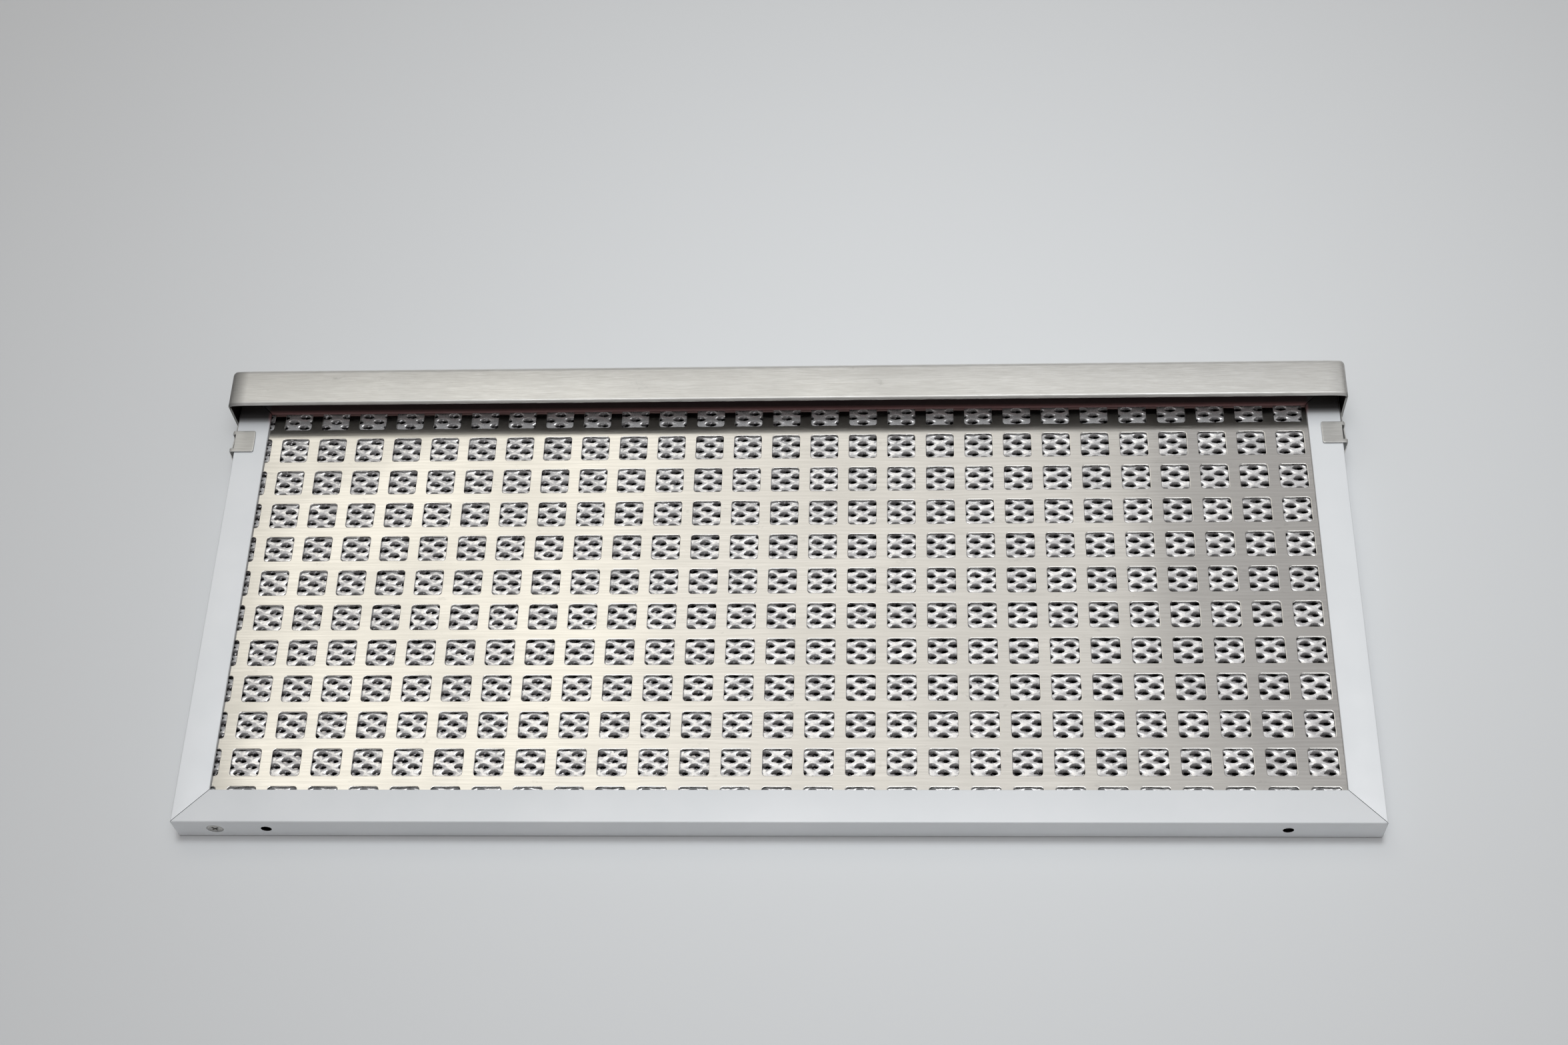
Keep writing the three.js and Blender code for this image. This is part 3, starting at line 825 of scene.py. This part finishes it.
def make_mesh_layers():
    for layer in range(LAYERS):
        node = f"mesh_layer_{layer + 1}"
        low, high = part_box(node)
        made = mesh_layer(f"{node}_expanded", layer, low, high, fine=layer < 2)
        stands_for(made, node)


# ---------- grip bar ----------
def crown_drop(x):
    """How far the bar's top has curved down at a place along it: only near its two ends."""
    nearness = max(0.0, 1 - (bar_high[0] - abs(x)) / CROWN_REACH)
    return CROWN * nearness ** 2


def shoulder_drop(x):
    """How far the rounded shoulder of an end wall lies below the bar's top."""
    past = min(max(abs(x) - (bar_high[0] - SHOULDER), 0), SHOULDER)
    return SHOULDER - math.sqrt(SHOULDER ** 2 - past ** 2)


def bar_arch(inset):
    """The bar seen from the front: up one end, round its shoulder, along the top and down."""
    side, top = bar_high[0] - inset, bar_high[2] - inset
    shoulder = max(SHOULDER - inset, 0.2 * MM)
    outline = [(-side, bar_low[2]), (-side, FRAME_TOP)]
    for a in np.linspace(0, math.pi / 2, 10):
        x = -side + shoulder * (1 - math.cos(a))
        outline.append((x, top - shoulder * (1 - math.sin(a)) - crown_drop(x)))
    for x in np.linspace(-side + shoulder, -bar_high[0] + 7 * MM, 12)[1:]:
        outline.append((x, top - crown_drop(x)))
    return outline + [(-x, z) for x, z in reversed(outline)]


def make_bar():
    front, rear = bar_low[1], bar_high[1]
    # Each station from front to rear: how far the arch is inset, and its y.
    stations = [(0.0, front), (0.0, front + HEM / 2), (0.0, (front + rear) / 2)]
    stations += [(REAR_CORNER * (1 - math.cos(a)), rear - REAR_CORNER + REAR_CORNER * math.sin(a))
                 for a in np.linspace(0, math.pi / 2, 9)]
    rings = [[(x, y, z) for x, z in bar_arch(inset)] for inset, y in stations]
    skin = loft("grip_bar_pressed", rings, bar_steel, closed_ring=False, caps=False)
    shape = bmesh.new()
    shape.from_mesh(skin.data)
    shape.verts.ensure_lookup_table()
    count = len(rings[0])
    shape.faces.new([shape.verts[i] for i in range((len(rings) - 1) * count, len(rings) * count)])
    bmesh.ops.recalc_face_normals(shape, faces=shape.faces)
    upward = sum(f.normal.z for f in shape.faces)
    if upward < 0:
        bmesh.ops.reverse_faces(shape, faces=shape.faces)
    shape.to_mesh(skin.data)
    shape.free()
    # The inner shell gets the near-black material: painted shade inside the bar.
    skin.data.materials.append(bar_inside_shade)
    thick = skin.modifiers.new("sheet", "SOLIDIFY")
    thick.thickness = BAR_WALL
    thick.offset = -1
    thick.material_offset = 1
    settled(skin)
    combined(skin, [nose_space()])
    combined(skin, [nose_hem()], "UNION")
    tools = [rivet_room((x, rear, MIDDLE_Z), (0, -1, 0)) for x in bar_rivet_xs()]
    tools += [rivet_room((s * bar_high[0], PIVOT_Y, MIDDLE_Z), (-s, 0, 0)) for s in (-1, 1)]
    combined(skin, tools)
    smooth(skin, 38)
    stands_for(skin, "grip_bar")


def nose_space():
    """What the folded nose takes the place of, up to the middle of each end wall."""
    reach = bar_high[0] - BAR_WALL / 2
    return block("cut", (-reach, bar_low[1] - MM, bar_high[2] - 3.2 * MM),
                 (reach, bar_low[1] + HEM / 2, bar_high[2] + MM), bar_steel)


def nose_hem():
    """The rounded nose and the edge that is folded back under the top, ending in the end walls."""
    front, top, radius = bar_low[1], bar_high[2], HEM / 2
    end = front + radius + HEM_RETURN
    side = arc((front + radius, top - radius), radius, 90, 270, 16)
    side += [(end, top - HEM), (end + 0.1 * MM, top - HEM + BAR_WALL / 2)]
    side += [(end, top - HEM + BAR_WALL), (front + radius, top - HEM + BAR_WALL),
             (front + radius, top - BAR_WALL / 2)]
    rings = []
    xs = [bar_high[0] - d * MM for d in (0.4, 0.6, 0.8, 1.1, 1.5, 2.3, 3.1, 4, 5, 6, 7)]
    for x in [-v for v in xs] + list(reversed(xs)):
        drop = crown_drop(x) + shoulder_drop(x)
        rings.append([(x, y, z - drop) for y, z in side])
    return loft("hem", rings, bar_steel)


# ---------- catches ----------
def leaf_line():
    """The leaf's middle in plan, as (offset out from the rail, y) in millimetres."""
    mouth_y = bar_low[1] / MM - 0.3
    pivot_y = PIVOT_Y / MM
    line = [(LEAF_FLAT, pivot_y + LEAF_TAIL), (LEAF_FLAT, pivot_y), (LEAF_MOUTH, mouth_y)]
    shares = np.linspace(0, 1, LEAF_STEPS + 1)[1:]
    line += [(LEAF_MOUTH + (LEAF_SHOULDER[0] - LEAF_MOUTH) * t,
              mouth_y + (LEAF_SHOULDER[1] - mouth_y) * t) for t in shares]
    for t in shares:
        weights = ((1 - t) ** 2, 2 * t * (1 - t), t ** 2)
        bends = (LEAF_SHOULDER, LEAF_PULL, LEAF_NOSE)
        line.append(tuple(sum(w * p[a] for w, p in zip(weights, bends)) for a in (0, 1)))
    return line


def offset_at(y):
    line = list(reversed(leaf_line()))
    return float(np.interp(y, [p[1] for p in line], [p[0] for p in line]))


def catch_strips(leaf_bottom, top):
    """The catch's skin as strips: each is a list of rows of (offset out, y, height) points."""
    roots = [[LEG_FRONT, LEG_FRONT + 0.4, LEG_FRONT + LEG_WIDTH],
             [LEG_REAR - LEG_WIDTH, LEG_REAR - 0.4, LEG_REAR]]
    # Where a leg leaves the leaf they share every point, so the leaf's own bends keep clear.
    bends = [y for _, y in leaf_line()
             if all(y < root[0] - 0.25 or y > root[2] + 0.25 for root in roots)]
    heights = [leaf_bottom, (leaf_bottom + LEAF_TOP) / 2, LEAF_TOP]
    strips = [[[(offset_at(y), y, z) for z in heights]
               for y in sorted(bends + roots[0] + roots[1], reverse=True)]]
    for root in roots:
        rows = []
        for y in root:
            out = offset_at(y)
            row = [(out, y, LEAF_TOP), (out, y, top - LEG_BEND)]
            row += [(out + LEG_BEND * (math.cos(a) - 1), y, top + LEG_BEND * (math.sin(a) - 1))
                    for a in (math.pi / 6, math.pi / 3, math.pi / 2)]
            rows.append(row + [(0.0, y, top)])
        strips.append(rows)
    across = [0.0, -0.6, -TAB_REACH + 1.2, -TAB_REACH + 0.5, -TAB_REACH]
    rows = []
    for y in roots[0] + roots[1]:
        edge = min(y - LEG_FRONT, LEG_REAR - y)
        pull = TAB_CORNER * max(0, 1 - edge / TAB_CORNER)
        rows.append([(x if x > -TAB_REACH + 0.4 else x + pull, y, top) for x in across])
    return strips + [rows]


def make_catch(name, side):
    """One strip of spring steel: the bowed leaf, two legs bent over the rail, and the tab."""
    low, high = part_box(f"{name}_catch")
    shape = bmesh.new()
    cache = {}

    def vert(offset, y, z):
        key = (round(offset, 3), round(y, 3), round(z, 3))
        if key not in cache:
            cache[key] = shape.verts.new((side * (SIDE_X + offset * MM), y * MM, z * MM))
        return cache[key]

    for rows in catch_strips(low[2] / MM, (high[2] - 0.25 * MM) / MM):
        for one, other in zip(rows, rows[1:]):
            for k in range(len(one) - 1):
                shape.faces.new([vert(*one[k]), vert(*one[k + 1]),
                                 vert(*other[k + 1]), vert(*other[k])])
    bmesh.ops.recalc_face_normals(shape, faces=shape.faces)
    mesh = bpy.data.meshes.new(f"{name}_catch_bent")
    shape.to_mesh(mesh)
    shape.free()
    mesh.materials.append(spring_steel)
    made = bpy.data.objects.new(mesh.name, mesh)
    scene.collection.objects.link(made)
    thick = made.modifiers.new("sheet", "SOLIDIFY")
    thick.thickness = SPRING
    thick.offset = 0
    thick.solidify_mode = "NON_MANIFOLD"
    edges = made.modifiers.new("edges", "BEVEL")
    edges.width = 0.07 * MM
    edges.segments = 2
    edges.limit_method = "ANGLE"
    edges.angle_limit = math.radians(50)
    settled(made)
    smooth(made, 40)
    stands_for(made, f"{name}_catch", f"{name}_catch")


# ---------- corner keys ----------
def finish_keys():
    """The corner keys keep their CAD shape, with broken edges and a plain metal finish."""
    for end in ("front", "rear"):
        for side in ("left", "right"):
            key = frame["nodes"][f"corner_key_{end}_{side}"]
            key.data.materials.clear()
            key.data.materials.append(mill)
            key.modifiers.new("weld", "WELD").merge_threshold = 0.001 * MM
            flat = key.modifiers.new("flat", "DECIMATE")
            flat.decimate_type = "DISSOLVE"
            flat.angle_limit = math.radians(1)
            edges = key.modifiers.new("edges", "BEVEL")
            edges.width = 0.12 * MM
            edges.segments = 2
            edges.limit_method = "ANGLE"


add_camera()
add_floor()
add_world()
add_lights()
make_rails()
make_rivets()
make_screw()
make_sheets()
make_mesh_layers()
make_bar()
make_catch("left", -1)
make_catch("right", 1)
finish_keys()
